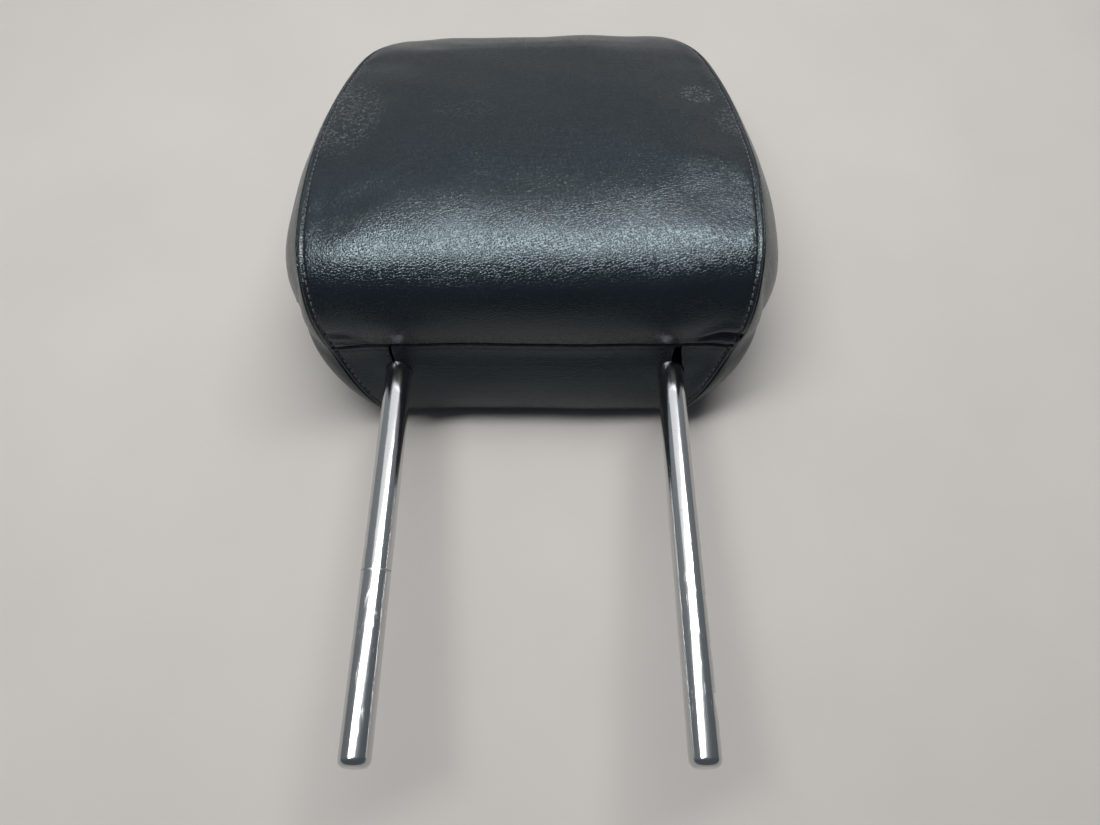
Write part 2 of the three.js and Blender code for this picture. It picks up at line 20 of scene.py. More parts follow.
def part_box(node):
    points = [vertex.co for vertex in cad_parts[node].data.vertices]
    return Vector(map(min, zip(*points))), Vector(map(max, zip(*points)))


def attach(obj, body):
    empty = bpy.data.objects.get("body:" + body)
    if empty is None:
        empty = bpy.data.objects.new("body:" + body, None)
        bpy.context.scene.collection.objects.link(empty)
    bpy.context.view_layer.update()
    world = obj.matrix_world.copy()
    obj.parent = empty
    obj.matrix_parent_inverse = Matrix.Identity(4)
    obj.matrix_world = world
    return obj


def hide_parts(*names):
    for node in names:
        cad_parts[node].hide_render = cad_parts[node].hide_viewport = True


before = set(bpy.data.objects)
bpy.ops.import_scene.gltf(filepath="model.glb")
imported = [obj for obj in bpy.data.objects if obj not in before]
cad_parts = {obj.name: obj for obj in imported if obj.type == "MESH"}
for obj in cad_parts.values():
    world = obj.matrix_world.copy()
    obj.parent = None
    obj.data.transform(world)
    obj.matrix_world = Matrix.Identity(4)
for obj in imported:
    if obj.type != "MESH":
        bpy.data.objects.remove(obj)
scene = bpy.context.scene
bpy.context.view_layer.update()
print("pieces in the frame:", sorted(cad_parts))

# %% [markdown]
# ## Camera
#
# The photographer stood at the posts' end and looked down at the cushion, 66 degrees
# below the horizon. The two posts are parallel, so the way they spread apart towards the
# viewer gives that angle and the height of the lens above the floor.

# %% Look down from the posts' end
IMAGE_WIDTH = 1100
FOCAL_PIXELS = 800
SENSOR = 36.0

lens = bpy.data.cameras.new("camera")
lens.sensor_width = SENSOR
lens.lens = SENSOR * FOCAL_PIXELS / IMAGE_WIDTH
lens.clip_start = 0.01
camera = bpy.data.objects.new("camera", lens)
camera.location = (0.0083, -0.2124, 0.4267)
camera.rotation_euler = Euler((math.radians(23.5), 0, 0))
scene.collection.objects.link(camera)
scene.camera = camera
print(f"lens {lens.lens:.1f} mm, {camera.location.z:.3f} m above the floor")

# %% [markdown]
# ## Shader maths
#
# A material is a tree of nodes, and a formula in it soon takes a dozen Math nodes. The
# class below wraps one output of a node. Python's own + - * / on it add the nodes, so a
# formula reads as it does on paper.

# %% A signal is one output of a material's nodes
class Signal:
    def __init__(self, tree, socket=None):
        self.tree = tree
        self.socket = socket

    def node(self, kind, settings=None, values=None, output=0):
        """Adds a node, makes its settings, then links or sets its sockets."""
        node = self.tree.nodes.new(kind)
        for name, value in (settings or {}).items():
            setattr(node, name, value)
        for name, value in (values or {}).items():
            if isinstance(value, Signal):
                self.tree.links.new(value.socket, node.inputs[name])
            else:
                node.inputs[name].default_value = value
        return Signal(self.tree, node.outputs[output] if node.outputs else None)

    def maths(self, operation, *values):
        settings = {"operation": operation}
        return self.node("ShaderNodeMath", settings, dict(enumerate(values)))

    def __add__(self, other):
        return self.maths("ADD", self, other)

    def __radd__(self, other):
        return self.maths("ADD", other, self)

    def __sub__(self, other):
        return self.maths("SUBTRACT", self, other)

    def __rsub__(self, other):
        return self.maths("SUBTRACT", other, self)

    def __mul__(self, other):
        return self.maths("MULTIPLY", self, other)

    def __truediv__(self, other):
        return self.maths("DIVIDE", self, other)

    def __pow__(self, other):
        return self.maths("POWER", self, other)

    def between(self, low, high):
        """0 up to low, 1 from high on, and a smooth rise from one to the other."""
        settings = {"interpolation_type": "SMOOTHSTEP"}
        values = {"Value": self, "From Min": low, "From Max": high}
        return self.node("ShaderNodeMapRange", settings, values)

    def mix(self, first, second):
        """The first colour where this signal is 0, the second where it is 1."""
        values = {0: self, 6: first, 7: second}
        return self.node("ShaderNodeMix", {"data_type": "RGBA"}, values, output=2)


def new_material(name):
    """An empty material and a signal that starts its node tree."""
    material = bpy.data.materials.new(name)
    material.use_nodes = True
    material.node_tree.nodes.clear()
    return material, Signal(material.node_tree)


def finish_material(start, values):
    """Ends a node tree with the surface shader, given its sockets' values."""
    surface = start.node("ShaderNodeBsdfPrincipled", None, values)
    start.node("ShaderNodeOutputMaterial", None, {"Surface": surface})


def place_on(start):
    """The place of a point on the piece, in metres."""
    return start.node("ShaderNodeTexCoord", None, None, output="Object")


def parts_of(start, vector):
    """The three numbers of a vector, as three signals."""
    node = start.node("ShaderNodeSeparateXYZ", None, {0: vector})
    outputs = node.socket.node.outputs
    return [Signal(start.tree, output) for output in outputs]


def noise(start, place, scale, detail=4.0, roughness=0.5):
    """Soft random variation from 0 to 1, with scale waves in a metre."""
    values = {"Vector": place, "Scale": scale, "Detail": detail, "Roughness": roughness}
    return start.node("ShaderNodeTexNoise", None, values)


def grey(value):
    """A neutral colour."""
    return (value, value, value, 1)


print("shader helpers ready")

# %% [markdown]
# ## Floor and light
#
# The floor is plain and pale. A wide lamp hangs over the cushion. Seen in the leather it
# is the soft bright band that runs straight across the bulge, and in the round posts it is
# a white streak. A second lamp to the upper left lights the floor and gives the soft
# shadow on the right, and a wide faint one above the top fills in. The room around is pale
# behind the cushion and dark on the viewer's side, so the front of the bulge, which faces
# the viewer, turns nearly black. The camera itself sees a plain grey there.

# %% Lay the floor
bpy.ops.object.select_all(action="DESELECT")
bpy.ops.mesh.primitive_plane_add(size=4.0, location=(0, 0, 0))
floor = bpy.context.object
floor.name = "floor"
floor_material, start = new_material("pale_floor")
place = place_on(start)
tone = noise(start, place, 9.0).mix((0.285, 0.272, 0.255, 1), (0.325, 0.311, 0.292, 1))
finish_material(start, {"Base Color": tone, "Roughness": 0.75, "Specular IOR Level": 0.2})
floor.data.materials.append(floor_material)
print("floor is", [round(side, 1) for side in floor.dimensions], "m")

# %% Hang the lamps


def lamp(name, place, aim, size, power):
    """A rectangular lamp at a place, turned towards another."""
    light = bpy.data.lights.new(name, "AREA")
    light.shape = "RECTANGLE"
    light.size, light.size_y = size
    light.energy = power
    hung = bpy.data.objects.new(name, light)
    hung.location = place
    hung.rotation_euler = (Vector(aim) - Vector(place)).to_track_quat("-Z", "Y").to_euler()
    scene.collection.objects.link(hung)
    print(f"{name}: {power} W over {size[0]} x {size[1]} m")
    return hung


ceiling_lamp = lamp("ceiling_lamp", (-0.03, 0.21, 1.25), (-0.02, 0.06, 0.05), (1.6, 0.34), 31)
ceiling_lamp.rotation_euler.rotate_axis("Z", math.radians(20))
side_lamp = lamp("side_lamp", (-0.60, 0.55, 1.0), (0, 0.05, 0.05), (0.8, 0.6), 2.4)
side_lamp.visible_glossy = False
lamp("ceiling_glow", (0.0, 0.80, 1.25), (0.0, 0.10, 0.05), (1.6, 0.8), 3.2)

# %% Paint the room
world = bpy.data.worlds.new("room")
world.use_nodes = True
room = Signal(world.node_tree)
world.node_tree.nodes.clear()
direction = room.node("ShaderNodeTexCoord", None, None, output="Generated")
to_right, far, _ = parts_of(room, direction)
pale = far.between(-0.5, 1.0) - to_right.between(0.2, 0.8) * 0.22
tone = pale.mix((0.095, 0.110, 0.130, 1), (0.36, 0.385, 0.40, 1))
seen = room.node("ShaderNodeLightPath", None, None, output="Is Camera Ray")
shown = seen.mix(tone, grey(0.62))
ambient = room.node("ShaderNodeBackground", None, {"Color": shown, "Strength": 1.0})
room.node("ShaderNodeOutputWorld", None, {"Surface": ambient})
scene.world = world
scene.view_settings.view_transform = "Standard"
print("the room is pale behind the cushion and dark on the viewer's side")

# %% [markdown]
# ## The cushion's form
#
# A headrest cushion is moulded foam with leather sewn tightly round it. The main panel
# is one long strip of leather. It starts at the closing line, climbs over the bulge, runs
# up the front, round the top, down the back and up the flap underneath. Seen from the
# side that strip is a closed curve, and it runs straight across from one side seam to the
# other. So the form takes two drawings: that side view, and how far from the middle the
# seam lies at each place along it. Lengths in the drawings are millimetres, and places up
# the cushion count from where the posts leave it.

# %% The side view
HEAD_TOP = 235.0
FOOT = -11.0
CLOSING_IN, CLOSING_HEIGHT = 4.0, 60.0
BULGE_AT, BULGE_HEIGHT = 46.0, 106.0
BROW_AT, BROW_HEIGHT = 198.0, 74.0
TOP_END_HEIGHT = 38.0
TOP_BACK_AT = 200.0
BACK_EDGE_ROUND = 14.0
UNDERSIDE_HEIGHT = 16.0

exit_y = 1000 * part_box("cover_main_panel")[0].y - FOOT


def bezier(first, handle, other_handle, last, count=90):
    """Points along a curve, without its last one."""
    t = np.linspace(0, 1, count, endpoint=False)[:, None]
    a, b, c, d = (np.array(point, float) for point in (first, handle, other_handle, last))
    return a * (1 - t) ** 3 + 3 * b * t * (1 - t) ** 2 + 3 * c * t**2 * (1 - t) + d * t**3


def side_view():
    """The main panel seen from the side, from the closing line round to it."""
    rise, run = BULGE_HEIGHT - CLOSING_HEIGHT, BULGE_AT - CLOSING_IN
    slope, fall = BROW_AT - BULGE_AT, BROW_HEIGHT - TOP_END_HEIGHT
    top, back = HEAD_TOP - BROW_AT, HEAD_TOP - TOP_BACK_AT
    flap = CLOSING_HEIGHT - UNDERSIDE_HEIGHT
    closing, bulge = (CLOSING_IN, CLOSING_HEIGHT), (BULGE_AT, BULGE_HEIGHT)
    brow, top_end = (BROW_AT, BROW_HEIGHT), (HEAD_TOP, TOP_END_HEIGHT)
    heel, toe = (FOOT + BACK_EDGE_ROUND, 0), (FOOT, UNDERSIDE_HEIGHT)
    return np.vstack([
        bezier(closing, (CLOSING_IN, CLOSING_HEIGHT + rise * 0.55),
               (BULGE_AT - run * 0.65, BULGE_HEIGHT), bulge),
        bezier(bulge, (BULGE_AT + slope * 0.28, BULGE_HEIGHT),
               (BROW_AT - slope * 0.3, BROW_HEIGHT + fall * 0.4), brow),
        bezier(brow, (BROW_AT + top * 0.6, BROW_HEIGHT - fall * 0.24),
               (HEAD_TOP, TOP_END_HEIGHT + fall * 0.5), top_end),
        bezier(top_end, (HEAD_TOP, TOP_END_HEIGHT * 0.4),
               (TOP_BACK_AT + back * 0.6, 0), (TOP_BACK_AT, 0)),
        bezier((TOP_BACK_AT, 0), (140, 0), (70, 0), heel),
        bezier(heel, (FOOT + BACK_EDGE_ROUND * 0.4, 0), (FOOT, UNDERSIDE_HEIGHT * 0.4), toe),
        bezier(toe, (FOOT, UNDERSIDE_HEIGHT + flap * 0.4),
               (CLOSING_IN, CLOSING_HEIGHT - flap * 0.3), closing),
        [closing],
    ])


profile = side_view()
steps = np.linalg.norm(np.diff(profile, axis=0), axis=1)
profile_length = np.concatenate([[0], np.cumsum(steps)])
girth = profile_length[-1]
print(f"the main panel is {girth:.0f} mm long")

# %% [markdown]
# The rows of the grid run across the strip, close together at the closing line, where
# the leather rolls over, and further apart on the plain surfaces.

# %% Rows round the cushion


def graded(stops):
    """Places on a line. Each stop is a place and the spacing wanted there."""
    places, spacings = zip(*stops)
    line = np.linspace(places[0], places[-1], 6000)
    gaps = np.diff(line) / np.interp(line[1:], places, spacings)
    count = np.concatenate([[0], np.cumsum(gaps)])
    return np.interp(np.linspace(0, count[-1], round(count[-1]) + 1), count, line)


rows = graded([
    (0, 0.2), (4, 0.7), (12, 1.1), (45, 1.5), (120, 2.0), (girth - 280, 2.6),
    (girth - 75, 2.4), (girth - 55, 1.2), (girth - 12, 1.0), (girth - 4, 0.6), (girth, 0.2),
])
row_y = np.interp(rows, profile_length, profile[:, 0])
row_z = np.interp(rows, profile_length, profile[:, 1])
print(len(rows), "rows round the cushion")

# %% [markdown]
# The seams are widest apart at the bulge, come together towards the top, and are close
# together on the back, which is narrower than the front. A spline through a few places
# gives the rest.

# %% Where the seams lie
SEAM_PLACES = [
    (4, 60, 106.5), (46, 106, 115.5), (122, 92, 114.5), (198, 74, 101.5), (235, 38, 76),
    (200, 0, 80), (102, 0, 94.5), (3, 0, 77), (-11, 16, 86), (-2, 38, 98.5), (4, 60, 106.5),
]


def spline(places, values, at):
    """A smooth closed curve through the values, at other places."""
    wide = places[-1]
    before = np.concatenate([[places[-2] - wide], places[:-1]])
    after = np.concatenate([places[1:], [places[1] + wide]])
    lower_value = np.concatenate([[values[-2]], values[:-1]])
    upper_value = np.concatenate([values[1:], [values[1]]])
    slopes = (upper_value - lower_value) / (after - before)
    slopes[0] = slopes[-1] = (values[1] - values[-2]) / (places[1] + wide - places[-2])
    k = np.clip(np.searchsorted(places, at, side="right") - 1, 0, len(places) - 2)
    h = places[k + 1] - places[k]
    t = (at - places[k]) / h
    return (
        values[k] * (1 + 2 * t) * (1 - t) ** 2 + slopes[k] * h * t * (1 - t) ** 2
        + values[k + 1] * t**2 * (3 - 2 * t) + slopes[k + 1] * h * t**2 * (t - 1)
    )


marks = np.array(SEAM_PLACES, float)
nearest = [
    int(np.argmin(np.hypot(profile[:, 0] - y, profile[:, 1] - z))) for y, z, _ in SEAM_PLACES
]
nearest[0], nearest[-1] = 0, len(profile) - 1
seam_x = spline(profile_length[nearest], marks[:, 2], rows)
print(f"the seams lie {seam_x.min():.0f} to {seam_x.max():.0f} mm from the middle")

# %% [markdown]
# ## The side panels
#
# A side panel is a leaf of leather that closes the open end of that tube. It bulges from
# its seam to a spine, which is the widest line of the cushion, and runs from the lower
# end of the leaf to its upper end. Every row of the main panel carries on over the side
# panel to its place on the spine.

# %% From the seam to the spine
HALF_WIDTH, WIDEST_AT = 134.3, 68.0
SPINE_LOW, SPINE_HIGH = (24.0, 56.0, 121.0), (196.0, 42.0, 114.0)
STATIONS = 40

low_y, low_z, low_x = SPINE_LOW
high_y, high_z, high_x = SPINE_HIGH
spine_share = np.round(np.clip((row_y - low_y) / (high_y - low_y), 0, 1) * STATIONS) / STATIONS
spine_y = low_y + (high_y - low_y) * spine_share
spine_z = low_z + (high_z - low_z) * spine_share
down = np.clip((WIDEST_AT - spine_y) / (WIDEST_AT - low_y), 0, 1)
up = np.clip((spine_y - WIDEST_AT) / (high_y - WIDEST_AT), 0, 1)
spine_x = HALF_WIDTH - (HALF_WIDTH - low_x) * down**2.6 - (HALF_WIDTH - high_x) * up**2


def smooth(value, low, high):
    t = np.clip((value - low) / (high - low), 0, 1)
    return t * t * (3 - 2 * t)


fullness = 1.0 - 0.2 * smooth(spine_z - row_z, 0, 16)
top_share = smooth(row_y, 185, HEAD_TOP)
front_share = smooth(row_z, 42, 75)


def main_points(share):
    """The main panel at a share of the way from the middle (0) to a seam (1, or -1)."""
    out = np.abs(share)
    drop = 5.5 * out**8 * front_share[:, None] * smooth(row_y, 0, 19)[:, None]
    draw = 5.0 * out**5 * top_share[:, None]
    x = share * seam_x[:, None]
    return np.stack([x, row_y[:, None] - draw, row_z[:, None] - drop], -1)


def side_points(share):
    """The right side panel at a share of the way from the seam (0) to the spine (1)."""
    rim = main_points(np.ones((len(rows), 1)))
    to = np.stack([spine_x, spine_y, spine_z], -1)[:, None]
    rho = 1 - share[..., None]
    bulge = 1 - (1 - rho[..., 0] ** 2) ** fullness[:, None]
    point = to + (rim - to) * rho
    point[..., 0] = to[..., 0] + (rim[..., 0] - to[..., 0]) * bulge
    return point


print(f"the spine is {2 * HALF_WIDTH:.0f} mm from side to side")

# %% [markdown]
# The columns of the grid stand close together beside a seam, where the edges roll in and
# the stitches lie, and further apart elsewhere. On a side panel they are paced out along
# the curve. One half is worked out and mirrored.

# %% Columns across the cushion
near = graded([(0, 0.16), (1.6, 0.45), (3.2, 0.5), (5, 0.6), (12, 1.6)])
main_shares = 1 - near[None] / seam_x[:, None]
plain = np.linspace(0, 1, 50)[:-1]
main_shares = np.concatenate([plain[None] * main_shares[:, -1:], main_shares[:, ::-1]], axis=1)
side_near = graded([(0, 0.16), (1.6, 0.45), (5, 0.9), (10, 1.6)])
fine = np.linspace(0, 1, 400)
walk = side_points(np.broadcast_to(fine[None], (len(rows), 400)))
paced = np.cumsum(np.linalg.norm(np.diff(walk, axis=1), axis=-1), axis=1)
paced = np.concatenate([np.zeros((len(rows), 1)), paced], axis=1)
rest = np.linspace(0, 1, 15)[1:]
side_shares = []
for length in paced:
    packed = side_near * min(1, length[-1] / 25)
    spread_out = packed[-1] * (1 - rest) + length[-1] * rest
    side_shares.append(np.interp(np.concatenate([packed, spread_out]), length, fine))
side_shares = np.array(side_shares)
right_main = main_points(main_shares)
right_side = side_points(side_shares)[:, 1:]
right_half = np.concatenate([right_main, right_side], axis=1)
left_half = right_half[:, :0:-1] * (-1, 1, 1)
cushion = np.concatenate([left_half, right_half], axis=1)
centre = right_half.shape[1] - 1
seam_right = centre + right_main.shape[1] - 1
seam_left = centre - (right_main.shape[1] - 1)
print("grid of", cushion.shape[0], "by", cushion.shape[1], "points")

# %% How far each point lies from a seam and from the closing line
main_distance = seam_x[:, None] * (1 - main_shares)
side_distance = np.array([
    np.interp(share, fine, length) for share, length in zip(side_shares, paced)
])
half_distance = np.concatenate([main_distance, side_distance[:, 1:]], axis=1)
seam_distance = np.concatenate([half_distance[:, :0:-1], half_distance], axis=1)
closing_distance = np.minimum(rows, girth - rows)[:, None] + 0 * seam_distance
column = np.arange(cushion.shape[1])[None] + 0 * closing_distance
on_main = (column >= seam_left) & (column <= seam_right)
front_side = (rows < girth / 2)[:, None] & on_main
flap_side = (rows > girth / 2)[:, None] & on_main
print("points on the main panel:", int(on_main.sum()))

# %% [markdown]
# ## Small departures from the drawing
#
# No sewn cushion is quite even. This one leans a little at the top, its left lower corner
# droops, the bulge's right end is full further up, and the leather bulges over each post,
# where the foam is pushed up. A few long, slow waves, always the same ones, stand for the
# hand of the upholsterer.

# %% Lean, droop and bulge


def bump(value, middle, spread):
    """A soft hill of height 1."""
    return np.exp(-(((value - middle) / spread) ** 2))


def join_spine(grid):
    """Gives all the rows that meet at one station of a spine the same value there."""
    for column_at in (0, -1):
        for station in np.unique(spine_share):
            meeting = spine_share == station
            grid[meeting, column_at] = grid[meeting, column_at].mean(axis=0)


def outward(grid):
    """The direction that faces out of the cushion at every point of a grid."""
    across = np.gradient(grid, axis=1)
    along = np.gradient(grid, axis=0)
    normal = np.cross(across, along)
    for side in (slice(0, seam_left + 1), slice(seam_right, None)):
        normal[0, side] = normal[-1, side] = normal[0, side] + normal[-1, side]
    join_spine(normal)
    return normal / np.maximum(np.linalg.norm(normal, axis=-1, keepdims=True), 1e-9)


x, y, z = (cushion[..., k].copy() for k in range(3))
top = smooth(y, 150, HEAD_TOP)
lean = 4.6 * bump(x, 86, 20) + 2.6 * bump(x, 34, 34) + 0.6 * bump(x, -88, 18)
cushion[..., 1] += top * lean
side_fade = np.where(on_main, 1.0, 1 - smooth(seam_distance, 0, 14))
cushion[..., 2] -= 2.6 * smooth(-x, 82, 106) * bump(closing_distance, 0, 14) * side_fade
cushion[..., 2] += 2.4 * smooth(x, 55, 108) * bump(y, 84, 27) * smooth(z, 55, 80)
cushion[..., 0] -= 1.2

swell = 2.2 * bump(x, -67, 17) + 2.6 * bump(x, 68, 17)
swell = swell * bump(closing_distance, 15, 10) * front_side
pushed = 1.1 * (bump(x, -72, 14) + bump(x, 73, 14)) * bump(closing_distance, 12, 9) * flap_side
waves = 0.35 * np.sin(x / 19 + 0.7 * np.sin(y / 31)) * np.sin(y / 27 + 1.3)
waves += 0.22 * np.sin(x / 9.5 + y / 16 + 2.1) * np.sin(y / 11 - x / 23)
waves *= smooth(seam_distance, 2, 14) * smooth(z, 1, 12)
cushion += outward(cushion) * (swell + pushed + waves)[..., None]
print(f"bulges of {swell.max():.1f} mm, waves of {np.abs(waves).max():.2f} mm")

# %% [markdown]
# ## Let the foam fill the leather
#
# Leather sewn over foam is held at its seams and pressed out between them. Blender's
# Cloth does the same: a closed copy of the cushion is held along both seams and the
# closing line, and an even pressure swells the rest. The copy is a coarse, even mesh,
# made by a voxel remesh, so the swelling is worked out once for it and then handed on to
# the fine grid.

# %% Mesh helper
MM = 0.001


def mesh_piece(name, points, faces):
    """An object made of points in millimetres, in the drawing's place."""
    placed = np.array(points, float).reshape(-1, 3) * MM
    placed[:, 1] += exit_y * MM
    mesh = bpy.data.meshes.new(name)
    mesh.from_pydata(placed.tolist(), [], faces)
    mesh.update()
    piece = bpy.data.objects.new(name, mesh)
    scene.collection.objects.link(piece)
    return piece


def grid_faces(height, width):
    index = np.arange(height * width).reshape(height, width)
    quads = np.stack([index[:-1, :-1], index[:-1, 1:], index[1:, 1:], index[1:, :-1]], -1)
    return quads.reshape(-1, 4).tolist()


def choose(piece):
    """Makes a piece the only one selected."""
    bpy.ops.object.select_all(action="DESELECT")
    piece.select_set(True)
    bpy.context.view_layer.objects.active = piece


def edit(piece):
    """Opens a piece in edit mode with all of it selected."""
    choose(piece)
    bpy.ops.object.mode_set(mode="EDIT")
    bpy.ops.mesh.select_all(action="SELECT")


def apply(piece, kind, **settings):
    """Adds a modifier with its settings and applies it."""
    choose(piece)
    modifier = piece.modifiers.new(kind.lower(), kind)
    for name, value in settings.items():
        setattr(modifier, name, value)
    bpy.ops.object.modifier_apply(modifier=modifier.name)


def points_of(piece):
    """The points of a piece in millimetres, in the drawing's place."""
    flat = np.empty(3 * len(piece.data.vertices))
    piece.data.vertices.foreach_get("co", flat)
    return flat.reshape(-1, 3) / MM - (0, exit_y, 0)


print("mesh helpers ready")

# %% Swell a coarse copy
SWELL_CAP = 1.0
VOXEL = 0.0055
PRESSURE = 4.0
FRAMES = 20
HELD_UP_TO, FREE_FROM = 4.0, 10.0
SHARED_BY, SHARE_REACH = 10, 7.0


def swelling():
    """How far the cloth moves each point of the coarse copy, in millimetres."""
    coarse = mesh_piece("swelling_copy", cushion, grid_faces(*cushion.shape[:2]))
    edit(coarse)
    bpy.ops.mesh.remove_doubles(threshold=0.0001)
    bpy.ops.mesh.normals_make_consistent(inside=False)
    bpy.ops.object.mode_set(mode="OBJECT")
    apply(coarse, "REMESH", mode="VOXEL", voxel_size=VOXEL)
    start_points = points_of(coarse)
    closing_line = cushion[0, seam_left:seam_right]
    held = np.vstack([cushion[:, seam_left], cushion[:, seam_right], closing_line])
    tree = KDTree(len(held))
    for k, point in enumerate(held):
        tree.insert(point, k)
    tree.balance()
    group = coarse.vertex_groups.new(name="held")
    for k, point in enumerate(start_points):
        distance = tree.find(point)[2]
        hold = (FREE_FROM - distance) / (FREE_FROM - HELD_UP_TO)
        group.add([k], max(0.0, min(1.0, hold)), "REPLACE")
    cloth = coarse.modifiers.new("leather", "CLOTH")
    cloth.settings.quality = 5
    cloth.settings.use_pressure = True
    cloth.settings.uniform_pressure_force = PRESSURE
    cloth.settings.vertex_group_mass = "held"
    cloth.settings.effector_weights.gravity = 0
    cloth.point_cache.frame_start, cloth.point_cache.frame_end = 1, FRAMES
    for number in range(1, FRAMES + 1):
        scene.frame_set(number)
    pressed = coarse.evaluated_get(bpy.context.evaluated_depsgraph_get())
    moved = np.empty(3 * len(start_points))
    pressed.data.vertices.foreach_get("co", moved)
    moved = moved.reshape(-1, 3) / MM - (0, exit_y, 0) - start_points
    scene.frame_set(1)
    bpy.data.objects.remove(coarse)
    length = np.linalg.norm(moved, axis=1, keepdims=True)
    return start_points, moved * np.minimum(1, SWELL_CAP / np.maximum(length, 1e-9))


places, moves = swelling()
tree = KDTree(len(places))
for k, point in enumerate(places):
    tree.insert(point, k)
tree.balance()
flat = cushion.reshape(-1, 3)
handed = np.zeros_like(flat)
for k, point in enumerate(flat):
    near_ones = tree.find_n(point, SHARED_BY)
    weights = [math.exp(-((away / SHARE_REACH) ** 2)) + 1e-9 for _, _, away in near_ones]
    handed[k] = sum(w * moves[j] for w, (_, j, _) in zip(weights, near_ones)) / sum(weights)
inset = outward(cushion) * (0.5 * SWELL_CAP * smooth(seam_distance, 3, 14))[..., None]
cushion += handed.reshape(cushion.shape) - inset
print(f"the cloth moved {len(places)} points by up to {np.linalg.norm(moves, axis=1).max():.1f} mm")
cushion[..., 2] = np.maximum(cushion[..., 2], 0.0)

# %% [markdown]
# ## Seams, stitches and the closing line
#
# At a seam the edge of each panel rolls inwards, so the seam lies in a small valley. A
# row of stitches a few millimetres beside it draws the leather down again and leaves a
# rounded strip between. At the closing line the front edge rolls under and the flap's
# edge stands proud as a thin bead. These forms are a millimetre or two deep. They depend
# only on the distance to the seam or the line, so they are added to the grid as heights.

# %% Roll the edges
STITCH_LINE = 3.3
STITCH_PITCH = 3.6
FIRST_STITCH = 4.0
MAIN_ROLL, SIDE_ROLL = 1.5, 1.1
CHANNEL_DEPTH, STRIP_RISE, PUCKER_DEPTH, CREASE_DEPTH = 0.55, 0.30, 0.35, 0.16
FRONT_ROLL, FLAP_ROLL = 1.5, 1.0
BEAD_RISE, BEAD_GROOVE = 0.55, 0.3


def rolled(distance, radius):
    """The height of an edge that rolls inwards, below the plain surface."""
    out = radius - np.minimum(distance, radius)
    return np.sqrt(np.maximum(radius**2 - out**2, 0)) - radius


normal = outward(cushion)
arc = rows[:, None] + 0 * seam_distance
detail = np.where(on_main, rolled(seam_distance, MAIN_ROLL), rolled(seam_distance, SIDE_ROLL))
main_only = on_main * smooth(seam_distance, 0, 0.6)
detail -= CHANNEL_DEPTH * bump(seam_distance, STITCH_LINE, 0.75) * main_only
detail += STRIP_RISE * bump(seam_distance, 1.7, 1.0) * main_only
stitch_phase = 2 * np.pi * (arc - FIRST_STITCH + STITCH_PITCH / 2) / STITCH_PITCH
pucker = np.cos(stitch_phase) ** 6 * bump(seam_distance, STITCH_LINE, 0.8)
detail -= PUCKER_DEPTH * pucker * main_only
crease = np.sin(arc / 3.1 + 1.4 * np.sin(arc / 11)) * np.sin(arc / 17 + 0.6)
detail += CREASE_DEPTH * crease * bump(seam_distance, 6, 4) * on_main

from_seam = smooth(seam_distance, 0, 4)
line = closing_distance
front_edge = rolled(line, FRONT_ROLL)
bead = BEAD_RISE * bump(line, 1.3, 0.9) - BEAD_GROOVE * bump(line, 3.4, 0.7)
flap_edge = rolled(line, FLAP_ROLL) + bead
detail += from_seam * (front_edge * front_side + flap_edge * flap_side)
print(f"edges up to {-detail.min():.1f} mm deep")

# %% [markdown]
# Near both ends the closing line pulls the leather into small folds. On the right one
# deep fold leaves the line beside the post and runs to the seam, on the left there are
# two short ones. Each fold is a short path on the panel, given by how far it lies from
# the middle and above the closing line, and it is as deep as it is near that path.

# %% Fold the leather at the ends of the closing line


def fold(path, depth, spread):
    """A groove along a path of (x, distance above the closing line) places."""
    place_x, place_up = zip(*path)
    middle = np.interp(x, place_x, place_up)
    reach = smooth(x, place_x[0], place_x[0] + 9)
    reach *= 1 - smooth(x, place_x[-1] - 3, place_x[-1] + 3)
    return -depth * reach * bump(line, middle, spread) * front_side


detail += fold([(79, 1.5), (86, 5.0), (95, 9.5), (104, 9.0), (114, 7.5)], 2.1, 1.9)
detail += fold([(80, 4.0), (88, 9.5), (97, 14.5), (108, 15.5)], -0.9, 3.0)
detail += fold([(84, 2.0), (96, 4.5), (112, 3.5)], -0.7, 1.6)
detail += fold([(-109, 3.5), (-101, 5.0), (-92, 3.0), (-84, 1.5)], 0.9, 1.4)
detail += fold([(-108, 7.5), (-98, 8.0), (-88, 6.5)], -0.8, 1.9)
detail += fold([(-110, 12.0), (-100, 11.5), (-92, 10.5)], 0.6, 1.8)
cushion += normal * detail[..., None]
cushion[..., 2] = np.maximum(cushion[..., 2], 0.0)
for side in (slice(0, seam_left + 1), slice(seam_right, None)):
    cushion[0, side] = cushion[-1, side] = (cushion[0, side] + cushion[-1, side]) / 2
join_spine(cushion)
print(f"folds and edges reach {detail.min():.1f} to {detail.max():.1f} mm")

# %% [markdown]
# The edges at the closing line don't end in the open: the leather turns in and is sewn to
# the hooked strips behind it. A few more rows carry both edges inwards. At the seams these
# rows come close together but don't meet, so the panel stays one clean sheet for the cuts.

# %% Turn the edges in
TURN_DEPTHS = (0.9, 2.4, 5.0)
LEAST_TURN = 0.03
main_grid = cushion[:, seam_left:seam_right + 1]
main_fade = np.maximum(from_seam[0, seam_left:seam_right + 1, None], LEAST_TURN)
front_turned = [
    main_grid[0] + main_fade * (0, depth, 0.15 + 0.04 * depth) for depth in TURN_DEPTHS[::-1]
]
flap_turned = [
    main_grid[-1] + main_fade * (0, depth, -0.25 - 0.04 * depth) for depth in TURN_DEPTHS
]
main_grid = np.concatenate([front_turned, main_grid, flap_turned])
print("main panel grid of", main_grid.shape[0], "by", main_grid.shape[1], "points")

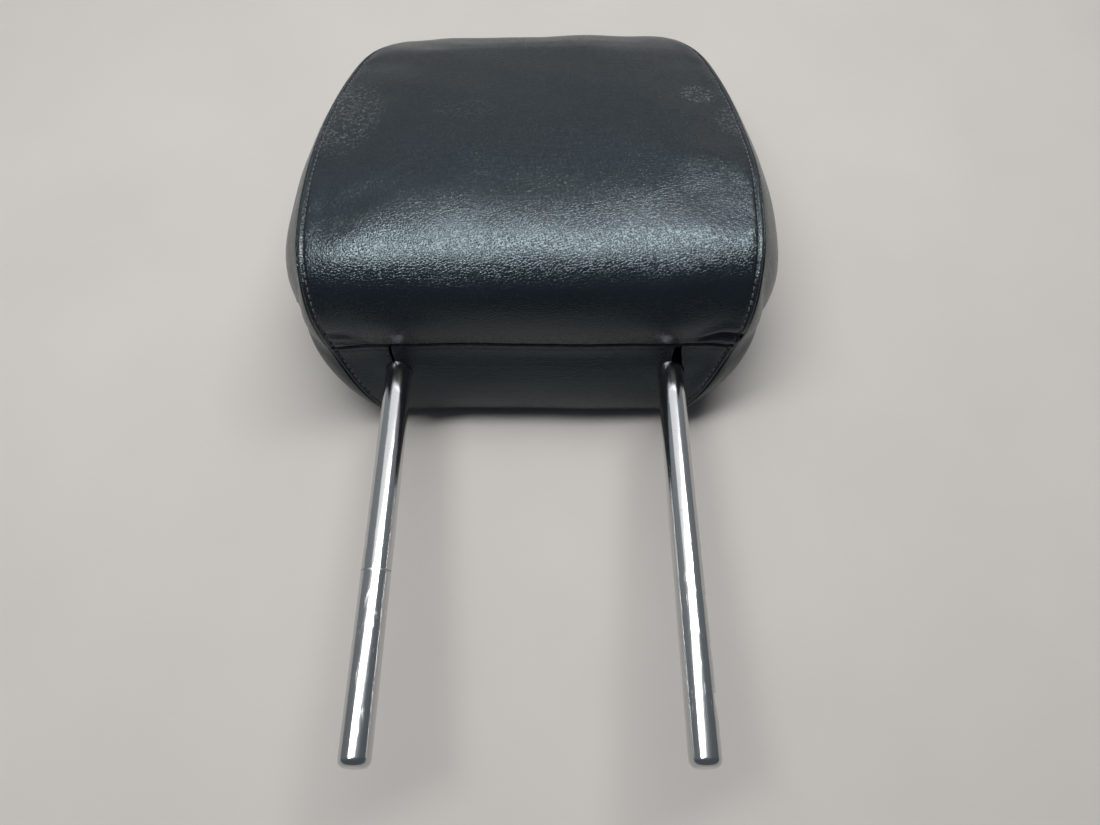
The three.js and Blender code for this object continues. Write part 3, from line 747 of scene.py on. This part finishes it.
# %% [markdown]
# ## Leather
#
# The cover is black leather with a pressed pebble grain. Each pebble is about a
# millimetre across and its edges are fine grooves, which is what a Voronoi texture's
# distance to the edge gives, once some noise has made its cells uneven. A finer noise
# gives it pores, and its gloss wanders a little. The finish is worn: the upper left corner
# is scuffed, and there are paler places at the right and in the middle.

# %% The leather's finish
# Each scuff has a strength, a place across and up the cushion and two radii, in metres.
SCUFFS = [
    (0.42, -0.103, 0.130, 0.024, 0.040),
    (0.50, 0.091, 0.150, 0.013, 0.011),
    (0.35, 0.106, 0.125, 0.010, 0.018),
    (0.10, -0.038, 0.132, 0.022, 0.012),
]


def spot(place_x, place_y, along_x, along_y, radius_x, radius_y):
    """1 at the middle of a soft oval and 0 outside it, seen from above."""
    away = ((place_x - along_x) / radius_x) ** 2 + ((place_y - along_y) / radius_y) ** 2
    return 1 - away.between(0.15, 1.0)


def leather_material(name):
    """Black pebbled leather with its scuffs."""
    material, start = new_material(name)
    place = place_on(start)
    waves_of = {"Vector": place, "Scale": 420.0, "Detail": 1.0}
    wander = start.node("ShaderNodeTexNoise", None, waves_of, output=1)
    shift = start.node("ShaderNodeVectorMath", {"operation": "SCALE"}, {0: wander, "Scale": 0.0011})
    uneven = start.node("ShaderNodeVectorMath", {"operation": "ADD"}, {0: place, 1: shift})
    to_edge = {"feature": "DISTANCE_TO_EDGE"}
    cells = start.node("ShaderNodeTexVoronoi", to_edge, {"Vector": uneven, "Scale": 760.0})
    pebbles = cells.between(0.0, 0.32)
    pores = noise(start, place, 2600.0, 2.0)
    grain = pebbles + pores * 0.25
    slow = noise(start, place, 16.0, 3.0)
    patches = noise(start, place, 45.0, 4.0, 0.6)
    px, py, pz = parts_of(start, place)
    scratches = noise(start, place, 520.0, 6.0, 0.8).between(0.50, 0.66)
    scuff = 0
    for strength, across, up_from_exit, wide, tall in SCUFFS:
        scuff = spot(px, py, across, exit_y * MM + up_from_exit, wide, tall) * strength + scuff
    scuff = scuff * scratches
    black = patches.mix((0.0026, 0.0038, 0.0060, 1), (0.0052, 0.0068, 0.0092, 1))
    colour = (scuff * pz.between(0.045, 0.06)).mix(black, (0.16, 0.17, 0.165, 1))
    rough = 0.20 + slow * 0.09 + pores * 0.04 + scuff * 0.25
    soft_relief = {"Strength": 0.14, "Distance": 0.0012, "Height": patches}
    soft = start.node("ShaderNodeBump", None, soft_relief)
    relief = {"Strength": 0.45, "Distance": 0.00022, "Height": grain, "Normal": soft}
    surface = start.node("ShaderNodeBump", None, relief)
    finish_material(start, {
        "Base Color": colour, "Roughness": rough, "Normal": surface,
        "Specular IOR Level": 0.56, "Specular Tint": (0.78, 0.95, 1.0, 1),
    })
    return material


leather = leather_material("black_leather")
print(leather.name, "has", len(leather.node_tree.nodes), "nodes")

# %% [markdown]
# ## Cut the panels
#
# The grid is cut along both seams into the main panel and two side panels, and each is
# given the thickness of leather by a Solidify modifier, inwards, so the outside stays
# where it is.

# %% Make the three panels
THICKNESS = 1.2


def panel(name, grid):
    """One leather panel with its thickness, smooth and facing out."""
    piece = mesh_piece(name, grid, grid_faces(*grid.shape[:2]))
    edit(piece)
    bpy.ops.mesh.remove_doubles(threshold=0.000004)
    bpy.ops.mesh.normals_make_consistent(inside=False)
    bpy.ops.object.mode_set(mode="OBJECT")
    middle = piece.data.polygons[len(piece.data.polygons) // 3]
    if middle.normal.dot(Vector(middle.center) - Vector((0, 0.05, 0.045))) < 0:
        piece.data.flip_normals()
    apply(piece, "SOLIDIFY", thickness=THICKNESS * MM, offset=-1, use_rim=True,
          use_even_offset=False)
    choose(piece)
    bpy.ops.object.shade_smooth_by_angle(angle=math.radians(50))
    piece.data.materials.append(leather)
    return piece


main = panel("main_panel", main_grid)
left = panel("side_panel_left", cushion[:, :seam_left + 1])
right = panel("side_panel_right", cushion[:, seam_right:])
for piece in (main, left, right):
    print(piece.name, len(piece.data.polygons), "faces")

# %% [markdown]
# ## Post holes and slits
#
# Each post leaves the flap through a round hole, and a slit runs from the closing line
# down to that hole, so that the cover could be pulled over the posts. The left slit is
# narrow. The right one has opened to a few millimetres. The cutters are a cylinder along
# the post and a thin wedge, and Boolean modifiers take them out of the panel.

# %% Cut them out of the flap
POST_X, POST_RADIUS, POST_HEIGHT = 72.5, 7.0, 42.0
POST_RISE = math.radians(7.2)


def set_down(piece):
    """Tilts what was modelled in the posts' plane and puts it in the drawing's place."""
    choose(piece)
    piece.rotation_euler = (-POST_RISE, 0, 0)
    piece.location = (0, exit_y * MM, POST_HEIGHT * MM)
    bpy.ops.object.transform_apply(location=True, rotation=True, scale=True)


def cut(piece, cutter, solver="EXACT"):
    apply(piece, "BOOLEAN", object=cutter, operation="DIFFERENCE", solver=solver)
    bpy.data.objects.remove(cutter)


def hole_cutter(side, radius, shift):
    bpy.ops.mesh.primitive_cylinder_add(
        vertices=56, radius=radius * MM, depth=0.034, rotation=(math.pi / 2, 0, 0),
        location=((side * POST_X + shift) * MM, -0.001, 0.0))
    cutter = bpy.context.object
    choose(cutter)
    bpy.ops.object.transform_apply(location=True, rotation=True, scale=True)
    set_down(cutter)
    return cutter


def slit_cutter(corners):
    """A wedge through the flap, from its outline in x and z."""
    count = len(corners)
    near = [(cx, -14.0, cz) for cx, cz in corners]
    deep = [(cx, 9.0, cz) for cx, cz in corners]
    sides = [[k, (k + 1) % count, count + (k + 1) % count, count + k] for k in range(count)]
    ends = [list(range(count))[::-1], [count + k for k in range(count)]]
    cutter = mesh_piece("slit_cutter", near + deep, sides + ends)
    edit(cutter)
    bpy.ops.mesh.normals_make_consistent(inside=False)
    bpy.ops.object.mode_set(mode="OBJECT")
    return cutter


bpy.ops.object.select_all(action="DESELECT")
cut(main, hole_cutter(-1, 7.25, 0.0))
cut(main, hole_cutter(1, 7.25, 0.4))
LEFT_SLIT = [
    (-75.6, 60.05), (-76.2, 55), (-75.2, 50), (-75.4, 42),
    (-74.2, 42), (-73.9, 50), (-74.6, 55), (-74.1, 60.05),
]
RIGHT_SLIT = [
    (73.4, 60.05), (73.0, 54), (72.6, 49), (72.4, 42),
    (79.2, 42), (78.4, 48), (77.3, 54), (76.8, 60.05),
]
cut(main, slit_cutter(LEFT_SLIT), "FAST")
cut(main, slit_cutter(RIGHT_SLIT), "FAST")
print("main panel after the cuts:", len(main.data.polygons), "faces")

# %% Hand the panels to the frame
for piece, node in (
    (main, "cover_main_panel"),
    (left, "cover_side_panel_left"),
    (right, "cover_side_panel_right"),
):
    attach(piece, "root")
    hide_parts(node)
    print(piece.name, "takes the place of", node)

# %% [markdown]
# ## Stitches
#
# A row of black thread runs along each seam. One stitch is a short bar with round ends,
# sunk at both ends into the leather. It is modelled once, then copied along the stitch
# line, turned along it and tilted with the leather.

# %% Model one stitch
STITCH_RADIUS, STITCH_LENGTH = 0.00045, 0.0026
STITCH_SAG, STITCH_LIFT = 0.0005, 0.00025

bpy.ops.object.select_all(action="DESELECT")
bpy.ops.mesh.primitive_cylinder_add(
    vertices=8, radius=STITCH_RADIUS, depth=STITCH_LENGTH, rotation=(math.pi / 2, 0, 0))
stitch = bpy.context.object
stitch.name = "stitch"
choose(stitch)
bpy.ops.object.transform_apply(location=True, rotation=True, scale=True)
edit(stitch)
bpy.ops.mesh.select_all(action="DESELECT")
bpy.ops.object.mode_set(mode="OBJECT")
for face in stitch.data.polygons:
    face.select = abs(face.normal.y) > 0.9
bpy.ops.object.mode_set(mode="EDIT")
bpy.ops.mesh.bevel(offset=0.0003, segments=2, affect="EDGES")
bpy.ops.object.mode_set(mode="OBJECT")
for vertex in stitch.data.vertices:
    vertex.co.z -= STITCH_SAG * (vertex.co.y / (STITCH_LENGTH / 2)) ** 2
print("one stitch has", len(stitch.data.polygons), "faces")

# %% Copy it along both seams
thread, start = new_material("black_thread")
place = place_on(start)
slanting = {"bands_direction": "DIAGONAL"}
bands = {"Vector": place, "Scale": 900.0, "Distortion": 1.0}
twist = start.node("ShaderNodeTexWave", slanting, bands)
fuzz = noise(start, place, 4200.0, 3.0)
strands = {"Strength": 0.5, "Distance": 0.0001, "Height": twist + fuzz * 0.5}
thread_bump = start.node("ShaderNodeBump", None, strands)
tone = fuzz.mix((0.020, 0.022, 0.026, 1), (0.050, 0.053, 0.058, 1))
finish_material(start, {
    "Base Color": tone, "Roughness": 0.62 + fuzz * 0.15, "Normal": thread_bump,
    "Sheen Weight": 0.2,
})

off_seam = int(np.argmin(np.abs(near - STITCH_LINE)))
facing = outward(cushion)


def stitching(name, line_points, line_normals):
    """Stitches along a line on the leather, joined to one piece."""
    steps = np.linalg.norm(np.diff(line_points, axis=0), axis=1)
    along = np.concatenate([[0], np.cumsum(steps)])
    copies = []
    for at in np.arange(FIRST_STITCH, along[-1] - 3.0, STITCH_PITCH):
        middle = np.array([np.interp(at, along, line_points[:, k]) for k in range(3)])
        ahead = np.array([np.interp(at + 1, along, line_points[:, k]) for k in range(3)]) - middle
        up = Vector([np.interp(at, along, line_normals[:, k]) for k in range(3)]).normalized()
        ahead = (Vector(ahead) - up * Vector(ahead).dot(up)).normalized()
        turn = Matrix((ahead.cross(up), ahead, up)).transposed().to_4x4()
        spot_m = Vector(middle * MM) + Vector((0, exit_y * MM, 0)) + up * STITCH_LIFT
        copy = bpy.data.objects.new(name, stitch.data.copy())
        copy.data.transform(Matrix.Translation(spot_m) @ turn)
        scene.collection.objects.link(copy)
        copies.append(copy)
    bpy.ops.object.select_all(action="DESELECT")
    for copy in copies:
        copy.select_set(True)
    bpy.context.view_layer.objects.active = copies[0]
    bpy.ops.object.join()
    piece = copies[0]
    piece.data.materials.append(thread)
    bpy.ops.object.shade_smooth_by_angle(angle=math.radians(60))
    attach(piece, "root")
    print(name, "has", len(copies), "stitches")
    return piece


for name, column_at in (
    ("stitching_left", seam_left + off_seam),
    ("stitching_right", seam_right - off_seam),
):
    stitching(name, cushion[:, column_at], facing[:, column_at])
bpy.data.objects.remove(stitch)

# %% [markdown]
# ## The chrome posts
#
# Both posts are the legs of one steel tube, bent to a U inside the cushion. Bending is
# what the spin operator does: a ring of points is extruded up the left leg, spun a quarter
# turn, extruded along the bridge, spun again and extruded down the right leg. The tips
# are closed and rounded by a bevel. The right leg has four height stops on its outer
# side, each with a square shoulder and a long ramp, cut out with wedges.

# %% Bend the tube
POST_OUT, POST_IN, POST_BEND, TIP_ROUND = 198.0, 95.0, 38.0, 3.5
SIDES = 72
MERGE = 0.00001

bpy.ops.object.select_all(action="DESELECT")
bpy.ops.mesh.primitive_circle_add(
    vertices=SIDES, radius=POST_RADIUS * MM, fill_type="NOTHING",
    location=(-POST_X * MM, -POST_OUT * MM, 0), rotation=(math.pi / 2, 0, 0))
posts = bpy.context.object
posts.name = "chrome_posts"
bpy.ops.object.transform_apply(location=True, rotation=True, scale=True)
edit(posts)
bpy.ops.mesh.extrude_region_move(TRANSFORM_OT_translate={"value": (0, (POST_OUT + POST_IN) * MM, 0)})
left_centre = ((-POST_X + POST_BEND) * MM, POST_IN * MM, 0)
bpy.ops.mesh.spin(steps=20, angle=-math.pi / 2, center=left_centre, axis=(0, 0, 1))
bpy.ops.mesh.extrude_region_move(TRANSFORM_OT_translate={"value": (2 * (POST_X - POST_BEND) * MM, 0, 0)})
right_centre = ((POST_X - POST_BEND) * MM, POST_IN * MM, 0)
bpy.ops.mesh.spin(steps=20, angle=-math.pi / 2, center=right_centre, axis=(0, 0, 1))
bpy.ops.mesh.extrude_region_move(TRANSFORM_OT_translate={"value": (0, -(POST_OUT + POST_IN) * MM, 0)})
bpy.ops.mesh.select_all(action="SELECT")
bpy.ops.mesh.remove_doubles(threshold=MERGE)
bpy.ops.object.mode_set(mode="OBJECT")
print("tube box in mm:", [round(1000 * side, 1) for side in posts.dimensions])

# %% Close and round the tips
for side in (-1, 1):
    bpy.ops.object.mode_set(mode="EDIT")
    bpy.ops.mesh.select_all(action="DESELECT")
    bpy.ops.object.mode_set(mode="OBJECT")
    for vertex in posts.data.vertices:
        vertex.select = vertex.co.y < -(POST_OUT - 1) * MM and vertex.co.x * side > 0
    for edge in posts.data.edges:
        edge.select = all(posts.data.vertices[k].select for k in edge.vertices)
    bpy.ops.object.mode_set(mode="EDIT")
    bpy.ops.mesh.select_mode(type="EDGE")
    bpy.ops.mesh.edge_face_add()
    bpy.ops.mesh.bevel(offset=TIP_ROUND * MM, segments=8, affect="EDGES", profile=0.5)
    bpy.ops.object.mode_set(mode="OBJECT")
edit(posts)
bpy.ops.mesh.select_mode(type="VERT")
bpy.ops.mesh.select_all(action="SELECT")
bpy.ops.mesh.normals_make_consistent(inside=False)
bpy.ops.object.mode_set(mode="OBJECT")
print("tube has", len(posts.data.polygons), "faces")

# %% Cut the height stops
STOPS = [(30.0, 1.9, 14.5), (51.5, 1.2, 9.0), (73.0, 1.2, 9.0), (94.5, 1.2, 9.0)]
for from_tip, depth, length in STOPS:
    outside = POST_X + 2 * POST_RADIUS
    floor_x = POST_X + POST_RADIUS - depth
    shoulder = -POST_OUT + from_tip
    ramp_end = shoulder - length * (outside - floor_x) / depth
    bpy.ops.object.select_all(action="DESELECT")
    bpy.ops.mesh.primitive_cube_add(
        size=1.0,
        location=((floor_x + outside) / 2 * MM, (shoulder + ramp_end) / 2 * MM, 0),
        scale=((outside - floor_x) * MM, (shoulder - ramp_end) * MM, 4 * POST_RADIUS * MM))
    wedge = bpy.context.object
    choose(wedge)
    bpy.ops.object.transform_apply(location=True, rotation=True, scale=True)
    for vertex in wedge.data.vertices:
        if vertex.co.x < (floor_x + 1) * MM and vertex.co.y < (ramp_end + 1) * MM:
            vertex.co.x = outside * MM
    edit(wedge)
    bpy.ops.mesh.remove_doubles(threshold=MERGE)
    bpy.ops.mesh.normals_make_consistent(inside=False)
    bpy.ops.object.mode_set(mode="OBJECT")
    cut(posts, wedge)
apply(posts, "BEVEL", width=0.00025, segments=2, limit_method="ANGLE", angle_limit=math.radians(28))
choose(posts)
bpy.ops.object.shade_smooth_by_angle(angle=math.radians(40))
set_down(posts)
print("posts have", len(posts.data.polygons), "faces after the stops")

# %% [markdown]
# ## Chrome
#
# Chrome plate is a mirror that years in a seat's guides have dulled a little. It is
# metal with very low roughness. Fine lengthwise rubs raise the roughness in streaks, the
# left post has a thin ring where it sat in its guide, and small dark pits are scattered
# over both.

# %% The posts' finish
RING_AT, GUIDE_AT = 0.085, 0.050

chrome, start = new_material("worn_chrome")
place = place_on(start)
stretch = start.node("ShaderNodeMapping", None, {"Vector": place, "Scale": (900.0, 26.0, 900.0)})
rubs = noise(start, stretch, 1.0, 4.0, 0.6).between(0.55, 0.75)
clouds = noise(start, place, 55.0, 4.0, 0.6)
pits = noise(start, place, 1100.0, 2.0).between(0.66, 0.73)
px, py, _ = parts_of(start, place)
tip_y = (exit_y - POST_OUT) * MM
ring = 1 - start.maths("ABSOLUTE", py - (tip_y + RING_AT)).between(0.0002, 0.0007)
ring = ring * (1 - px.between(-0.02, 0.0))
guide = 1 - start.maths("ABSOLUTE", py - (tip_y + GUIDE_AT)).between(0.020, 0.045)
rough = 0.10 + clouds * 0.08 + rubs * guide * 0.26 + ring * 0.2
steel = (pits * 0.6 + ring * 0.5).mix((0.54, 0.545, 0.55, 1), (0.22, 0.25, 0.25, 1))
ripples = {"Strength": 0.06, "Distance": 0.0004, "Height": rubs + clouds}
waviness = start.node("ShaderNodeBump", None, ripples)
finish_material(start, {
    "Base Color": steel, "Metallic": 1.0, "Roughness": rough, "Normal": waviness,
})
posts.data.materials.append(chrome)
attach(posts, "root")
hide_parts("post_frame")
print("chrome on", posts.name)

# %% [markdown]
# ## What lies inside
#
# The foam, the plastic carrier that clamps the tube, its screws and the hooked strips at
# the closing line keep the shapes of the imported model. They are seen only through the
# slits or when the piece is taken apart, and they still get real finishes: open-celled
# foam, moulded plastic with a fine spark-eroded texture, and zinc-plated steel. Behind the
# slits the foam is painted near black: painted shade for the dark, narrow openings.

# %% Finishes for the inner pieces


def give(names, material):
    """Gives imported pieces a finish."""
    for name in names:
        for slot in bpy.data.objects[name].material_slots:
            slot.material = material
    print(material.name, "on", ", ".join(names))


foam, start = new_material("moulded_foam")
place = place_on(start)
cells = start.node("ShaderNodeTexVoronoi", None, {"Vector": place, "Scale": 900.0}, output=0)
blots = noise(start, place, 30.0, 5.0, 0.6)
open_cells = {"Strength": 0.7, "Distance": 0.0006, "Height": cells}
foam_bump = start.node("ShaderNodeBump", None, open_cells)
tone = (blots * 0.6 + cells * 0.4).mix((0.16, 0.145, 0.10, 1), (0.27, 0.25, 0.18, 1))
px, _, pz = parts_of(start, place)
# Painted shade: the foam behind each slit is painted near black, standing in for the shade inside the
# narrow openings.
painted_slit_shade = spot(px, pz, -0.076, 0.057, 0.012, 0.012) + spot(px, pz, 0.074, 0.057, 0.012, 0.012)
tone = painted_slit_shade.mix(tone, (0.012, 0.012, 0.011, 1))
finish_material(start, {"Base Color": tone, "Roughness": 0.88 + blots * 0.08, "Normal": foam_bump})
give(["foam_pad"], foam)

plastic, start = new_material("moulded_plastic")
place = place_on(start)
sparks = noise(start, place, 1400.0, 4.0, 0.65)
flow = noise(start, place, 18.0, 3.0)
sparked = {"Strength": 0.35, "Distance": 0.0002, "Height": sparks}
plastic_bump = start.node("ShaderNodeBump", None, sparked)
tone = flow.mix((0.014, 0.014, 0.015, 1), (0.022, 0.022, 0.024, 1))
finish_material(start, {"Base Color": tone, "Roughness": 0.5 + sparks * 0.2, "Normal": plastic_bump})
give(["carrier_rear_half", "carrier_front_half"], plastic)
give(["closing_profile_front", "closing_profile_flap"], plastic)

zinc, start = new_material("zinc_steel")
place = place_on(start)
flakes = start.node("ShaderNodeTexVoronoi", None, {"Vector": place, "Scale": 1800.0}, output=0)
haze = noise(start, place, 160.0, 4.0, 0.6)
tone = flakes.mix((0.50, 0.51, 0.53, 1), (0.64, 0.65, 0.66, 1))
hazy = {"Strength": 0.2, "Distance": 0.0001, "Height": haze}
zinc_bump = start.node("ShaderNodeBump", None, hazy)
finish_material(start, {
    "Base Color": tone, "Metallic": 1.0, "Roughness": 0.30 + haze * 0.16, "Normal": zinc_bump,
})
give([f"carrier_screw_{number}" for number in (1, 2, 3, 4)], zinc)
